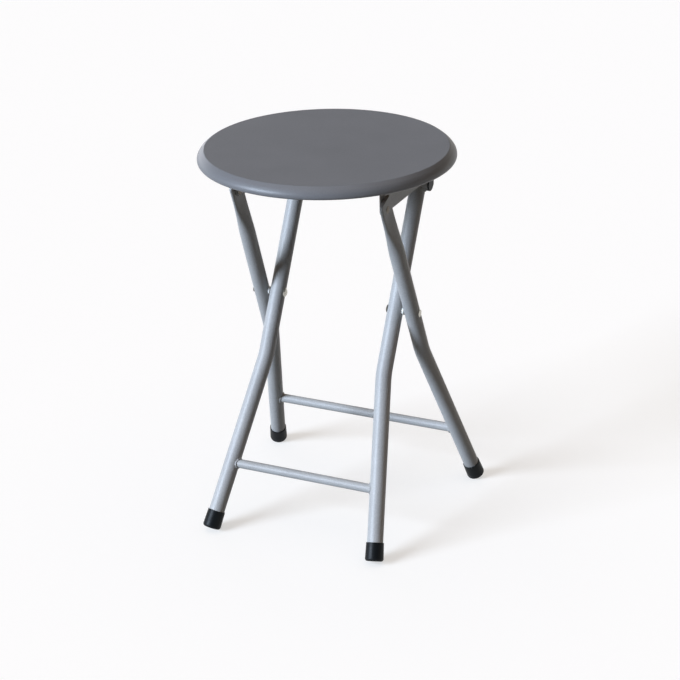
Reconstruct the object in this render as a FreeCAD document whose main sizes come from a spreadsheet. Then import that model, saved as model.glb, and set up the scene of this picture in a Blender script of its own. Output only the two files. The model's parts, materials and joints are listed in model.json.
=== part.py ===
import FreeCAD, Part
import math
import os

import Sketcher
from FreeCAD import Vector

# Folding stool: a round board seat on two crossed tube frames.
# Frame: origin on the floor under the seat centre, +Z up, +X along the hinge axes,
# -Y towards the side where the inner frame stands. Lengths in mm, angles in degrees.
# Right hand pieces (+X) are drawn, left hand pieces are their mirror images.

SIZES = {
    # Seat board with its film
    "seat_diameter": 300,
    "seat_height": 463,
    "seat_edge_radius": 10.5,
    "seat_rim_height": 0.7,
    "seat_lower_radius": 2.8,
    "film_thickness": 0.8,
    "film_gap": 0.05,
    # Leg tubes, stretchers and the bar that carries the rear of the seat
    "leg_diameter": 19,
    "leg_wall": 1.2,
    "stretcher_diameter": 11,
    "stretcher_wall": 1.0,
    "bar_diameter": 16,
    "bar_wall": 1.2,
    "weld_gap": 0.05,
    # Where the two frames cross, and how they stand
    "cross_y": 15.6,
    "cross_height": 263.5,
    "cross_gap": 2.6,
    "outer_tilt": 23.1,
    "inner_tilt": 28.8,
    "outer_splay": 10.0,
    "inner_splay": 7.9,
    "outer_bend_drop": 64,
    "inner_bend_drop": 78,
    "bend_radius": 120,
    "inner_half_width": 77.2,
    "outer_stretcher_height": 79.4,
    "inner_stretcher_height": 76.7,
    # Pressed flat tops of the outer legs, with the seat hinge below the seat's underside
    "hinge_drop": 36,
    "blade_thickness": 4,
    "blade_width": 26,
    "blade_flat_length": 8,
    "blade_tip_length": 13,
    "blade_corner_radius": 4,
    "press_length": 60,
    # Top bar of the inner legs, below the seat's underside
    "bar_drop": 51.3,
    "bar_overhang": 0.9,
    "saddle_setback": 2.5,
    "plug_cap_thickness": 1.8,
    "plug_spigot_length": 9,
    "plug_fit": 0.05,
    # Seat rails, bent from sheet
    "rail_thickness": 1.6,
    "rail_leg_gap": 2.4,
    "rail_web_width": 22,
    "rail_bend_radius": 2,
    "rail_ear_radius": 7,
    "hook_clearance": 0.3,
    "hook_mouth_rise": 7,
    "hook_lip_drop": 3,
    "hook_lip_width": 7,
    # Rivets and their washers
    "rivet_diameter": 6,
    "rivet_head_diameter": 11,
    "rivet_head_height": 2.4,
    "rivet_tail_diameter": 9,
    "rivet_tail_height": 1.0,
    "pin_clearance": 0.05,
    "hinge_washer_diameter": 13,
    "hinge_washer_thickness": 1.4,
    "hinge_side_play": 0.1,
    "spacer_diameter": 9.5,
    "cross_play": 0.3,
    # Wood screws that hold the rails
    "screw_diameter": 3.5,
    "screw_head_diameter": 8,
    "screw_head_height": 2.4,
    "screw_tip_cover": 4.6,
    "screw_pilot_gap": 0.05,
    "screw_hole_clearance": 0.4,
    "screw_inset": 10,
    "screw_end_margin": 16,
    # Foot caps
    "cap_wall": 0.95,
    "cap_flare": 0.5,
    "cap_length": 22,
    "cap_floor": 3,
    "cap_edge_radius": 3,
    "cap_fit": 0.05,
}

# Lengths and coordinates below this count as zero
NEARLY_ZERO = 1e-6

doc = FreeCAD.newDocument("FoldingStool")
dims = doc.addObject("Spreadsheet::Sheet", "Dims")
for row, (alias, size) in enumerate(SIZES.items(), 1):
    dims.set(f"A{row}", alias)
    dims.set(f"B{row}", str(size))
    dims.setAlias(f"B{row}", alias)
doc.recompute()

# Derived layout, each value bound to the sheet
layout = doc.addObject("App::VarSet", "Layout")


def derive(name, formula, kind="App::PropertyFloat"):
    """Adds a derived value to the layout."""
    layout.addProperty(kind, name)
    layout.setExpression(name, formula)


def frame_layout(frame, knee_x):
    """Lower leg of one frame: the cap's rounded rim just touches the floor."""
    tilt = f"Dims.{frame}_tilt"
    splay = f"Dims.{frame}_splay"
    drop = f"Dims.{frame}_bend_drop"
    slant_cos = f"Layout.{frame}_slant_cos"
    slant_sin = f"Layout.{frame}_slant_sin"
    derive(f"{frame}_slant_cos", f"cos({splay}) * cos({tilt})")
    derive(f"{frame}_slant_sin", f"sqrt(1 - {slant_cos} ^ 2)")
    rim = "Layout.cap_base_radius - Dims.cap_edge_radius"
    derive(f"{frame}_lift", f"Dims.cap_edge_radius * (1 - {slant_cos}) + ({rim}) * {slant_sin}")
    fall = f"Dims.cross_height - {drop} * cos({tilt}) - Layout.{frame}_lift"
    derive(f"{frame}_shin", f"({fall}) / {slant_cos}")
    derive(f"{frame}_knee_x", knee_x)
    derive(f"{frame}_foot_x", f"Layout.{frame}_knee_x + Layout.{frame}_shin * sin({splay})")
    derive(f"{frame}_foot_z", f"-{drop} - Layout.{frame}_shin * cos({splay})")
    rest = f"(Dims.cross_height - Dims.{frame}_stretcher_height) / cos({tilt})"
    derive(f"{frame}_stretcher_z", f"-{rest}")
    derive(f"{frame}_stretcher_x", f"Layout.{frame}_knee_x + ({rest} - {drop}) * tan({splay})")


derive("leg_radius", "Dims.leg_diameter / 2")
derive("cap_top_radius", "Layout.leg_radius + Dims.cap_fit + Dims.cap_wall")
derive("cap_base_radius", "Layout.cap_top_radius + Dims.cap_flare")
derive("pin_hole_radius", "Dims.rivet_diameter / 2 + Dims.pin_clearance")
derive("seat_thickness", "Dims.seat_edge_radius + Dims.seat_rim_height + Dims.seat_lower_radius")
derive("underside", "Dims.seat_height - Layout.seat_thickness")
derive("screw_length", "Dims.rail_thickness + Layout.seat_thickness - Dims.screw_tip_cover")
derive("hinge_z", "Layout.underside - Dims.hinge_drop")
derive("hinge_reach", "(Layout.hinge_z - Dims.cross_height) / cos(Dims.outer_tilt)")
derive("hinge_y", "Dims.cross_y - Layout.hinge_reach * sin(Dims.outer_tilt)")
derive("bar_z", "Layout.underside - Dims.bar_drop")
derive("bar_reach", "(Layout.bar_z - Dims.cross_height) / cos(Dims.inner_tilt)")
derive("bar_y", "Dims.cross_y + Layout.bar_reach * sin(Dims.inner_tilt)")
derive("flange_in", "Dims.inner_half_width + Layout.leg_radius + Dims.rail_leg_gap")
derive("flange_out", "Layout.flange_in + Dims.rail_thickness")
derive("blade_in", "Layout.flange_out + Dims.hinge_washer_thickness + Dims.hinge_side_play")
derive("blade_x", "Layout.blade_in + Dims.blade_thickness / 2")
derive("blade_out", "Layout.blade_in + Dims.blade_thickness")
derive("bar_half", "Layout.flange_out + Dims.bar_overhang")
derive("outer_half_width", "Dims.inner_half_width + Dims.leg_diameter + Dims.cross_gap")
derive("flat_start", "Layout.hinge_reach - Dims.blade_flat_length")
derive("press_start", "Layout.flat_start - Dims.press_length")
derive("lean_slope", "(Layout.outer_half_width - Layout.blade_x) / Layout.flat_start")
frame_layout("outer", "Layout.outer_half_width + Layout.lean_slope * Dims.outer_bend_drop")
frame_layout("inner", "Dims.inner_half_width")
cross_point = "vector(0; Dims.cross_y; Dims.cross_height)"
derive("outer_frame", f"placement({cross_point}; rotation(vector(1; 0; 0); Dims.outer_tilt))",
       "App::PropertyPlacement")
derive("inner_frame", f"placement({cross_point}; rotation(vector(1; 0; 0); -Dims.inner_tilt))",
       "App::PropertyPlacement")
doc.recompute()


def value(formula):
    """Number that a formula of the sheet and the layout gives."""
    return float(layout.evalExpression(formula))


def shift(x="0", y="0", z="0", turn_y="0"):
    """Placement formula: a move, then a turn about Y."""
    return f"placement(vector({x}; {y}; {z}); rotation(vector(0; 1; 0); {turn_y}))"


# Sketches and features


def new_body(name, place=None):
    """Empty body named for its piece, placed by a formula."""
    body = doc.addObject("PartDesign::Body", name)
    body.Label = name
    if place:
        body.setExpression("Placement", place)
    return body


def new_sketch(body, name, role, offset=None):
    """Sketch on one of the body's own origin planes, moved by a placement formula."""
    sketch = body.newObject("Sketcher::SketchObject", f"{body.Name}_{name}")
    plane = next(item for item in body.Origin.OriginFeatures if item.Role == role)
    sketch.AttachmentSupport = [(plane, "")]
    sketch.MapMode = "FlatFace"
    if offset:
        sketch.setExpression("AttachmentOffset", offset)
    return sketch


def bind(sketch, constraint, formula):
    """Adds a dimension to a sketch and binds it to a formula."""
    index = sketch.addConstraint(constraint)
    sketch.setExpression(f"Constraints[{index}]", formula)


def locate(sketch, geometry, point, axis, formula):
    """Holds one coordinate of a sketch point at a formula's value."""
    number = value(formula)
    if abs(number) < NEARLY_ZERO:
        line = -2 if axis == "X" else -1
        sketch.addConstraint(Sketcher.Constraint("PointOnObject", geometry, point, line))
    elif number > 0:
        bind(sketch, Sketcher.Constraint(f"Distance{axis}", -1, 1, geometry, point, number), formula)
    else:
        constraint = Sketcher.Constraint(f"Distance{axis}", geometry, point, -1, 1, -number)
        bind(sketch, constraint, f"-({formula})")


def outline(sketch, corners, closed=True):
    """Chain of lines and arcs through corners (x, y) or (x, y, radius, turn).

    A corner with a radius starts an arc shorter than half a circle,
    with turn +1 to the left and -1 to the right.
    """
    points = [Vector(value(corner[0]), value(corner[1]), 0) for corner in corners]
    spans = len(corners) if closed else len(corners) - 1
    starts = []
    for i in range(spans):
        here = points[i]
        there = points[(i + 1) % len(points)]
        if len(corners[i]) == 2:
            index = sketch.addGeometry(Part.LineSegment(here, there))
            starts.append((index, 1, 2))
            continue
        radius = value(corners[i][2])
        turn = corners[i][3]
        chord = there - here
        middle = (here + there) * 0.5
        rise = math.sqrt(max(radius ** 2 - (chord.Length / 2) ** 2, 0))
        side = Vector(-chord.y, chord.x, 0).normalize() * turn
        centre = middle + side * rise
        circle = Part.Circle(centre, Vector(0, 0, 1), radius)
        first = math.atan2(here.y - centre.y, here.x - centre.x)
        last = math.atan2(there.y - centre.y, there.x - centre.x)
        if turn > 0:
            index = sketch.addGeometry(Part.ArcOfCircle(circle, first, last))
            starts.append((index, 1, 2))
        else:
            index = sketch.addGeometry(Part.ArcOfCircle(circle, last, first))
            starts.append((index, 2, 1))
        bind(sketch, Sketcher.Constraint("Radius", index, radius), corners[i][2])
    for i in range(spans if closed else spans - 1):
        index, _, end = starts[i]
        following, start, _ = starts[(i + 1) % spans]
        sketch.addConstraint(Sketcher.Constraint("Coincident", index, end, following, start))
    for i, corner in enumerate(corners):
        if i < spans:
            index, point, _ = starts[i]
        else:
            index, _, point = starts[-1]
        locate(sketch, index, point, "X", corner[0])
        locate(sketch, index, point, "Y", corner[1])


def ring(sketch, radius, x="0", y="0"):
    """Full circle at a point of a sketch."""
    spot = Vector(value(x), value(y), 0)
    index = sketch.addGeometry(Part.Circle(spot, Vector(0, 0, 1), value(radius)))
    bind(sketch, Sketcher.Constraint("Radius", index, value(radius)), radius)
    locate(sketch, index, 3, "X", x)
    locate(sketch, index, 3, "Y", y)


def pad(body, sketch, length, both_ways=False):
    """Raises a sketch along its normal, or half of the length each way."""
    feature = body.newObject("PartDesign::Pad", f"{sketch.Name}_pad")
    feature.Profile = sketch
    feature.setExpression("Length", length)
    if both_ways:
        feature.SideType = "Symmetric"
    doc.recompute()
    return feature


def pocket(body, sketch, length=None):
    """Cuts a sketch through the body, or to a depth against its normal."""
    before = body.Shape.Volume
    feature = body.newObject("PartDesign::Pocket", f"{sketch.Name}_cut")
    feature.Profile = sketch
    if length:
        feature.Type = "Length"
        feature.Reversed = True
        feature.setExpression("Length", length)
    else:
        feature.Type = "ThroughAll"
        feature.SideType = "Symmetric"
    doc.recompute()
    if body.Shape.Volume >= before:
        raise RuntimeError(f"{sketch.Name} cuts nothing")
    return feature


def revolve(body, sketch, axis="V_Axis", angle=360):
    """Turns a sketch about one of its own axes."""
    feature = body.newObject("PartDesign::Revolution", f"{sketch.Name}_turn")
    feature.Profile = sketch
    feature.ReferenceAxis = (sketch, [axis])
    feature.Angle = angle
    doc.recompute()
    return feature


def fillet(body, base, radius, picks):
    """Rounds the edges of a feature that a test picks."""
    names = [f"Edge{i}" for i, edge in enumerate(base.Shape.Edges, 1) if picks(edge)]
    feature = body.newObject("PartDesign::Fillet", f"{base.Name}_round")
    feature.Base = (base, names)
    feature.setExpression("Radius", radius)
    doc.recompute()
    return feature


def mirror(source, name):
    """Left hand twin of a right hand piece."""
    twin = doc.addObject("Part::Mirroring", name)
    twin.Label = name
    twin.Source = source
    twin.Normal = Vector(1, 0, 0)
    return twin


pieces = []


def both_sides(right):
    """Keeps a right hand piece and its left hand twin."""
    pieces.append(right)
    pieces.append(mirror(right, right.Label.replace("right", "left")))


# Seat: a fibre board with a rounded top edge under a film that is drawn over top and rim

seat_radius = "Dims.seat_diameter / 2"


def seat_side(inset):
    """Right hand edge of the seat from the top face down to the underside, moved inwards."""
    top = f"Dims.seat_height - {inset}"
    rim = f"{seat_radius} - {inset}"
    upper = "Dims.seat_edge_radius"
    lower = "Dims.seat_lower_radius"
    return [
        (f"{seat_radius} - {upper}", top, f"{upper} - {inset}", -1),
        (rim, f"Dims.seat_height - {upper}"),
        (rim, f"Layout.underside + {lower}", f"{lower} - {inset}", -1),
        (f"{seat_radius} - {lower}", f"Layout.underside + {inset}"),
    ]


film = new_body("seat_film")
film_section = new_sketch(film, "section", "XZ_Plane")
outside = seat_side("0")
inside = seat_side("Dims.film_thickness")
back_up = [
    inside[3][:2] + (inside[2][2], 1),
    inside[2][:2],
    inside[1][:2] + (inside[0][2], 1),
    inside[0][:2],
]
outline(film_section, [("0", "Dims.seat_height")] + outside + back_up
        + [("0", "Dims.seat_height - Dims.film_thickness")])
revolve(film, film_section)
pieces.append(film)

board = new_body("seat_board")
board_section = new_sketch(board, "section", "XZ_Plane")
board_inset = "(Dims.film_thickness + Dims.film_gap)"
board_side = seat_side(board_inset)
rebate = f"{seat_radius} - Dims.seat_lower_radius - Dims.film_gap"
outline(board_section, [("0", f"Dims.seat_height - {board_inset}")] + board_side
        + [(rebate, f"Layout.underside + {board_inset}"),
           (rebate, "Layout.underside"),
           ("0", "Layout.underside")])
revolve(board, board_section)

# Screw places on the rail webs, shared by the board, the rails and the screws
web_front = "Layout.hinge_y - Dims.rail_ear_radius"
hook_back = "(Layout.bar_y + Dims.bar_diameter / 2 + Dims.hook_clearance + Dims.hook_lip_width)"
screw_x = "Layout.flange_out - Dims.rail_web_width + Dims.screw_inset"
first_screw = f"({web_front} + Dims.screw_end_margin)"
last_screw = f"({hook_back} - Dims.screw_end_margin)"
screw_rows = {
    "front": first_screw,
    "middle": f"({first_screw} + {last_screw}) / 2",
    "rear": last_screw,
}
grip = "(Layout.screw_length - Dims.rail_thickness)"

pilots = new_sketch(board, "pilots", "XY_Plane", shift(z="Layout.underside"))
for row_y in screw_rows.values():
    for x in (screw_x, f"-({screw_x})"):
        ring(pilots, "Dims.screw_diameter / 2 + Dims.screw_pilot_gap", x, row_y)
pocket(board, pilots, f"{grip} + Dims.screw_pilot_gap")
pieces.append(board)

# Seat rails: sheet angles with an ear for the hinge rivet in front and a hook behind,
# drawn from the hinge axis

rail = new_body("seat_rail_right", shift(y="Layout.hinge_y", z="Layout.hinge_z"))
rail_top = "Dims.hinge_drop"
bar_dy = "(Layout.bar_y - Layout.hinge_y)"
bar_dz = "(Layout.bar_z - Layout.hinge_z)"
ear = "Dims.rail_ear_radius"
notch = "(Dims.bar_diameter / 2 + Dims.hook_clearance)"
mouth = "Dims.hook_mouth_rise"
notch_front = f"{bar_dy} - sqrt({notch} ^ 2 - {mouth} ^ 2)"
lip_front = f"{bar_dy} + {notch}"
lip_back = f"{lip_front} + Dims.hook_lip_width"
lip_round = "Dims.hook_lip_width / 2"
lip_low = f"{bar_dz} - Dims.hook_lip_drop"
flange = new_sketch(rail, "flange", "YZ_Plane", shift(z="Layout.flange_in"))
outline(flange, [
    (f"-{ear}", rail_top),
    (f"-{ear}", "0", ear, 1),
    ("0", f"-{ear}"),
    (notch_front, f"{bar_dz} + {mouth}", notch, -1),
    (bar_dy, f"{bar_dz} + {notch}", notch, -1),
    (lip_front, bar_dz),
    (lip_front, lip_low, lip_round, 1),
    (f"{lip_front} + {lip_round}", f"{lip_low} - {lip_round}", lip_round, 1),
    (lip_back, lip_low),
    (lip_back, rail_top),
])
pad(rail, flange, "Dims.rail_thickness")
web = new_sketch(rail, "web", "XY_Plane", shift(z=f"{rail_top} - Dims.rail_thickness"))
web_edge = "Layout.flange_out - Dims.rail_web_width"
outline(web, [
    (web_edge, f"-{ear}"),
    ("Layout.flange_out", f"-{ear}"),
    ("Layout.flange_out", lip_back),
    (web_edge, lip_back),
])
angle = pad(rail, web, "Dims.rail_thickness")


def along_fold(edge, x, z):
    """True for the edge that runs along Y at a place of the rail's section."""
    box = edge.BoundBox
    spread = max(abs(box.XMin - x), abs(box.XMax - x), abs(box.ZMin - z), abs(box.ZMax - z))
    return spread < NEARLY_ZERO < box.YLength


def inner_fold(edge):
    return along_fold(edge, value("Layout.flange_in"), value(f"{rail_top} - Dims.rail_thickness"))


def outer_fold(edge):
    return along_fold(edge, value("Layout.flange_out"), value(rail_top))


inner_bend = fillet(rail, angle, "Dims.rail_bend_radius", inner_fold)
fillet(rail, inner_bend, "Dims.rail_bend_radius + Dims.rail_thickness", outer_fold)
rail_pin = new_sketch(rail, "pin", "YZ_Plane", shift(z="Layout.flange_in"))
ring(rail_pin, "Layout.pin_hole_radius")
pocket(rail, rail_pin)
rail_holes = new_sketch(rail, "holes", "XY_Plane", shift(z=rail_top))
for row_y in screw_rows.values():
    ring(rail_holes, "Dims.screw_diameter / 2 + Dims.screw_hole_clearance",
         screw_x, f"{row_y} - Layout.hinge_y")
pocket(rail, rail_holes)
both_sides(rail)


# Rail screws: round heads below the web, shanks up into the board

def dome(radius, height):
    """Radius of the sphere that a shallow dome of this base radius and height is cut from."""
    return f"({radius} ^ 2 + {height} ^ 2) / (2 * {height})"


for row_name, row_y in screw_rows.items():
    place = shift(screw_x, row_y, "Layout.underside - Dims.rail_thickness")
    screw = new_body(f"rail_screw_{row_name}_right", place)
    section = new_sketch(screw, "section", "XZ_Plane")
    head = "(Dims.screw_head_diameter / 2)"
    high = "Dims.screw_head_height"
    shank = "(Dims.screw_diameter / 2)"
    outline(section, [
        ("0", f"-{high}", dome(head, high), 1),
        (head, "0"),
        (shank, "0"),
        (shank, f"Layout.screw_length - {shank}"),
        ("0", "Layout.screw_length"),
    ])
    revolve(screw, section)
    both_sides(screw)


# Rivets: a domed head towards the stool's middle and a low tail outside, turned about X

def rivet(name, place, length):
    """Rivet along +X from the underside of its head."""
    body = new_body(name, place)
    section = new_sketch(body, "section", "XY_Plane")
    shank = "(Dims.rivet_diameter / 2)"
    head = "(Dims.rivet_head_diameter / 2)"
    high = "Dims.rivet_head_height"
    tail = "(Dims.rivet_tail_diameter / 2)"
    low = "Dims.rivet_tail_height"
    outline(section, [
        (f"-{high}", "0"),
        (f"{length} + {low}", "0", dome(tail, low), 1),
        (length, tail),
        (length, shank),
        ("0", shank),
        ("0", head, dome(head, high), 1),
    ])
    revolve(body, section, "H_Axis")
    both_sides(body)


rivet("seat_hinge_rivet_right",
      shift("Layout.flange_in", "Layout.hinge_y", "Layout.hinge_z"),
      "(Layout.blade_out + Dims.hinge_side_play - Layout.flange_in)")
rivet("cross_rivet_right",
      shift("Dims.inner_half_width - Layout.leg_radius", "Dims.cross_y", "Dims.cross_height"),
      "(Layout.outer_half_width - Dims.inner_half_width + Dims.leg_diameter + Dims.cross_play)")


# Washers on the rivets

def washer(name, place, diameter, thickness):
    """Flat ring along +X."""
    body = new_body(name, place)
    section = new_sketch(body, "section", "YZ_Plane")
    ring(section, f"{diameter} / 2")
    ring(section, "Layout.pin_hole_radius")
    pad(body, section, thickness)
    both_sides(body)


washer("seat_hinge_washer_right",
       shift("Layout.flange_out", "Layout.hinge_y", "Layout.hinge_z"),
       "Dims.hinge_washer_diameter", "Dims.hinge_washer_thickness")
washer("cross_spacer_right",
       shift("Dims.inner_half_width + Layout.leg_radius + Dims.cross_play",
             "Dims.cross_y", "Dims.cross_height"),
       "Dims.spacer_diameter", "Dims.cross_gap - 2 * Dims.cross_play")


# Legs: bent tubes, drawn in the plane of their own frame from the crossing point

def bent_tube(body, frame, top_x, top_z, lean_slope):
    """Sweeps the tube wall from the foot, round the bend, up to the top of its path."""
    splay = f"Dims.{frame}_splay"
    drop = f"Dims.{frame}_bend_drop"
    knee = f"Layout.{frame}_knee_x"
    lean = f"atan({lean_slope})"
    tangent = f"Dims.bend_radius * tan(({splay} * 1 deg - {lean}) / 2)"
    start_x = f"Layout.{frame}_foot_x - Dims.cap_floor * sin({splay})"
    start_z = f"Layout.{frame}_foot_z + Dims.cap_floor * cos({splay})"
    path = new_sketch(body, "path", "XZ_Plane")
    outline(path, [
        (start_x, start_z),
        (f"{knee} + {tangent} * sin({splay})", f"-{drop} - {tangent} * cos({splay})",
         "Dims.bend_radius", -1),
        (f"{knee} - {tangent} * sin({lean})", f"-{drop} + {tangent} * cos({lean})"),
        (top_x, top_z),
    ], closed=False)
    wall = new_sketch(body, "wall", "XY_Plane", shift(start_x, "0", start_z, f"-{splay}"))
    ring(wall, "Layout.leg_radius")
    ring(wall, "Layout.leg_radius - Dims.leg_wall")
    tube = body.newObject("PartDesign::AdditivePipe", f"{body.Name}_tube")
    tube.Profile = wall
    tube.Spine = (path, ["Edge1", "Edge2", "Edge3"])
    doc.recompute()
    return tube


outer_leg = new_body("outer_leg_right", "Layout.outer_frame")
press_x = "Layout.blade_x + Layout.lean_slope * Dims.press_length"
bent_tube(outer_leg, "outer", press_x, "Layout.press_start", "Layout.lean_slope")
half_flat = "(Dims.blade_width - Dims.blade_thickness) / 2"
half_thick = "Dims.blade_thickness / 2"
round_end = new_sketch(outer_leg, "round_end", "XY_Plane",
                       shift(press_x, "0", "Layout.press_start", "-atan(Layout.lean_slope)"))
diagonal = "Layout.leg_radius * cos(45)"
tube_arc = ("Layout.leg_radius", 1)
outline(round_end, [
    (diagonal, f"-{diagonal}") + tube_arc,
    (diagonal, diagonal) + tube_arc,
    ("0", "Layout.leg_radius") + tube_arc,
    (f"-{diagonal}", diagonal) + tube_arc,
    (f"-{diagonal}", f"-{diagonal}") + tube_arc,
    ("0", "-Layout.leg_radius") + tube_arc,
])
flat_end = new_sketch(outer_leg, "flat_end", "XY_Plane",
                      shift("Layout.blade_x", "0", "Layout.flat_start"))
outline(flat_end, [
    (half_thick, f"-({half_flat})"),
    (half_thick, half_flat, half_thick, 1),
    ("0", f"{half_flat} + {half_thick}", half_thick, 1),
    (f"-{half_thick}", half_flat),
    (f"-{half_thick}", f"-({half_flat})", half_thick, 1),
    ("0", f"-({half_flat} + {half_thick})", half_thick, 1),
])
press = outer_leg.newObject("PartDesign::AdditiveLoft", "outer_leg_press")
press.Profile = round_end
press.Sections = [flat_end]
doc.recompute()
pad(outer_leg, flat_end, "Dims.blade_flat_length + Dims.blade_tip_length")
corners = new_sketch(outer_leg, "corners", "YZ_Plane")
tip_z = "Layout.hinge_reach + Dims.blade_tip_length"
half_blade = "Dims.blade_width / 2"
corner = "Dims.blade_corner_radius"
for sign, turn in (("", -1), ("-", 1)):
    near = f"{sign}({half_blade} - {corner})"
    far = f"{sign}({half_blade} + {corner})"
    outline(corners, [
        (near, tip_z, corner, turn),
        (f"{sign}({half_blade})", f"{tip_z} - {corner}"),
        (far, f"{tip_z} - {corner}"),
        (far, f"{tip_z} + {corner}"),
        (near, f"{tip_z} + {corner}"),
    ])
pocket(outer_leg, corners)
outer_pins = new_sketch(outer_leg, "pins", "YZ_Plane")
ring(outer_pins, "Layout.pin_hole_radius")
ring(outer_pins, "Layout.pin_hole_radius", "0", "Layout.hinge_reach")
pocket(outer_leg, outer_pins)
both_sides(outer_leg)

inner_leg = new_body("inner_leg_right", "Layout.inner_frame")
bent_tube(inner_leg, "inner", "Dims.inner_half_width",
          "Layout.bar_reach - Dims.saddle_setback", "0")
inner_pins = new_sketch(inner_leg, "pins", "YZ_Plane")
ring(inner_pins, "Layout.pin_hole_radius")
ring(inner_pins, "Dims.bar_diameter / 2 + Dims.weld_gap", "0", "Layout.bar_reach")
pocket(inner_leg, inner_pins)
both_sides(inner_leg)


# Cross tubes: the stretchers with saddle cut ends, and the top bar with square ends

def rod(name, radius, half_length, place):
    """Cylinder along X, centred on the stool's middle plane."""
    cylinder = doc.addObject("Part::Cylinder", name)
    cylinder.setExpression("Radius", radius)
    cylinder.setExpression("Height", f"2 * ({half_length})")
    cylinder.setExpression("Placement", shift(f"-({half_length})", "0", place, "90"))
    return cylinder


def cut(name, base, tool):
    """One solid less another."""
    result = doc.addObject("Part::Cut", name)
    result.Base = base
    result.Tool = tool
    return result


def stretcher(frame):
    """Tube between the shins of a frame, its ends cut to the legs' outside."""
    name = f"{frame}_stretcher"
    height = f"Layout.{frame}_stretcher_z"
    half = f"Layout.{frame}_stretcher_x"
    outside_rod = rod(f"{name}_rod", "Dims.stretcher_diameter / 2", half, height)
    bore = rod(f"{name}_bore", "Dims.stretcher_diameter / 2 - Dims.stretcher_wall", half, height)
    tube = cut(f"{name}_tube", outside_rod, bore)
    shin = doc.addObject("Part::Cylinder", f"{name}_shin")
    shin.setExpression("Radius", "Layout.leg_radius + Dims.weld_gap")
    shin.setExpression("Height", f"Layout.{frame}_shin")
    shin.setExpression("Placement", shift(f"Layout.{frame}_foot_x", "0", f"Layout.{frame}_foot_z",
                                          f"-Dims.{frame}_splay"))
    right_end = cut(f"{name}_right_end", tube, shin)
    result = cut(name, right_end, mirror(shin, f"{name}_shin_left"))
    result.Label = name
    result.setExpression("Placement", f"Layout.{frame}_frame")
    pieces.append(result)


stretcher("outer")
stretcher("inner")

bar_rod = rod("inner_top_bar_rod", "Dims.bar_diameter / 2", "Layout.bar_half", "Layout.bar_reach")
bar_bore = rod("inner_top_bar_bore", "Dims.bar_diameter / 2 - Dims.bar_wall", "Layout.bar_half",
               "Layout.bar_reach")
bar = cut("inner_top_bar", bar_rod, bar_bore)
bar.Label = "inner_top_bar"
bar.setExpression("Placement", "Layout.inner_frame")
pieces.append(bar)

# Plugs in the ends of the top bar: a cap flush with the tube and a spigot inside it

bar_end = shift("Layout.bar_half", "0", "Layout.bar_reach")
plug = new_body("top_bar_plug_right", f"Layout.inner_frame * {bar_end}")
plug_section = new_sketch(plug, "section", "XY_Plane")
plug_radius = "Dims.bar_diameter / 2"
spigot = "Dims.bar_diameter / 2 - Dims.bar_wall - Dims.plug_fit"
plug_round = "Dims.plug_cap_thickness / 2"
outline(plug_section, [
    ("-Dims.plug_spigot_length", "0"),
    ("Dims.plug_cap_thickness", "0"),
    ("Dims.plug_cap_thickness", f"{plug_radius} - {plug_round}", plug_round, 1),
    (f"Dims.plug_cap_thickness - {plug_round}", plug_radius),
    ("0", plug_radius),
    ("0", spigot),
    ("-Dims.plug_spigot_length", spigot),
])
revolve(plug, plug_section, "H_Axis")
both_sides(plug)


# Foot caps: closed sleeves pushed on the tube ends, square to the shin

def foot_cap(frame):
    """Cap turned about the shin's axis, from the middle of its sole."""
    sole = shift(f"Layout.{frame}_foot_x", "0", f"Layout.{frame}_foot_z", f"-Dims.{frame}_splay")
    body = new_body(f"{frame}_foot_cap_right", f"Layout.{frame}_frame * {sole}")
    section = new_sketch(body, "section", "XZ_Plane")
    edge = "Dims.cap_edge_radius"
    base = "Layout.cap_base_radius"
    bore = "Layout.leg_radius + Dims.cap_fit"
    outline(section, [
        ("0", "0"),
        (f"{base} - {edge}", "0", edge, 1),
        (base, edge),
        ("Layout.cap_top_radius", "Dims.cap_length"),
        (bore, "Dims.cap_length"),
        (bore, "Dims.cap_floor"),
        ("0", "Dims.cap_floor"),
    ])
    revolve(body, section)
    both_sides(body)


foot_cap("outer")
foot_cap("inner")
doc.recompute()

# Every object has to be sound before any file is written
failed = [item.Name for item in doc.Objects if "Invalid" in item.State or "Error" in item.State]
if failed:
    raise RuntimeError(f"failed objects: {failed}")
for piece in pieces:
    if piece.Shape.isNull() or not piece.Shape.isValid():
        raise RuntimeError(f"{piece.Label}: bad shape")

os.makedirs("parts", exist_ok=True)
for piece in pieces:
    piece.Shape.exportStep(f"parts/{piece.Label}.step")
    print(f"{piece.Label}: {len(piece.Shape.Solids)} solid, {piece.Shape.Volume:.1f} mm3")
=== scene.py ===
import json
import math

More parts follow.
